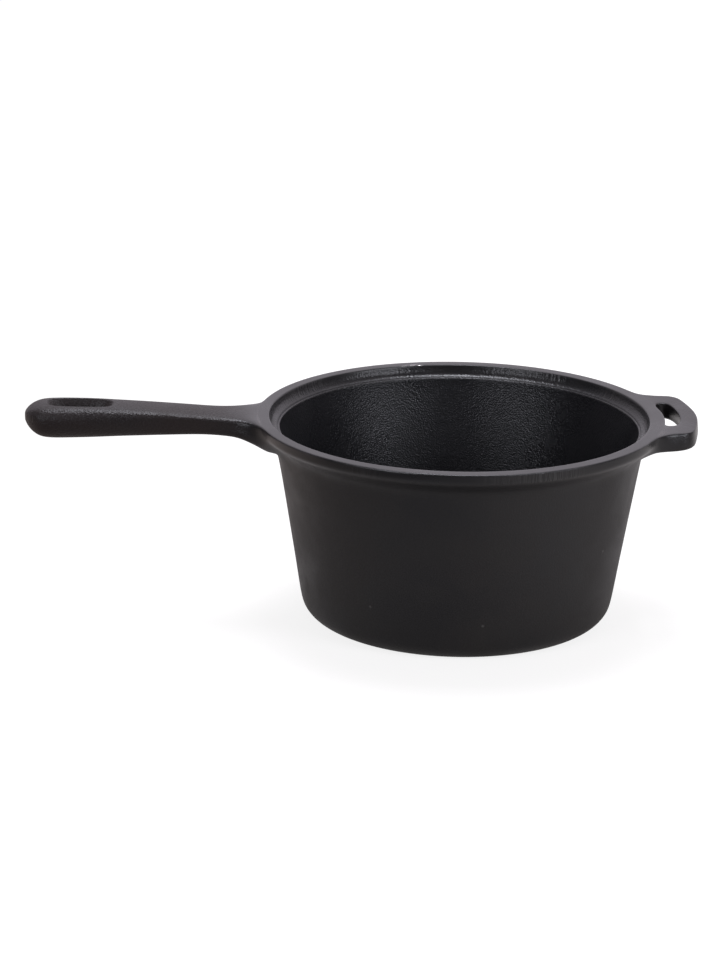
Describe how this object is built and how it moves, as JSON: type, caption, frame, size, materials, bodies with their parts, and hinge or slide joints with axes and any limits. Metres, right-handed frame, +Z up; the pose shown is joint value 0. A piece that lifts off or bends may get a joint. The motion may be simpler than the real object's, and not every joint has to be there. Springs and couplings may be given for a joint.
{
  "type": "saucepan",
  "caption": "Deep cast-iron saucepan with a tapered bowl, a lid ledge inside the rim, a long handle with a hanging slot and a slotted helper handle.",
  "frame": {"origin": "centre of the flat underside of the base", "axes": "+Z up along the bowl's axis, -X along the long handle, +X along the helper handle"},
  "size_m": [0.3824, 0.231, 0.1243],
  "materials": {
    "bowl_iron": "seasoned black cast iron, satin, fine sand-cast skin outside and pebbled inside",
    "rim_iron": "seasoned black cast iron, satin, smoother, with faint grinding marks on the band",
    "handle_iron": "seasoned black cast iron, satin, sand-cast skin with worn edges"
  },
  "bodies": {
    "root": {"pan_floor": "bowl_iron", "base_corner": "bowl_iron", "side_wall": "bowl_iron", "lid_seat": "rim_iron", "rim_band": "rim_iron", "handle_neck": "handle_iron", "handle_grip": "handle_iron", "helper_handle": "handle_iron"}
  },
  "joints": []
}
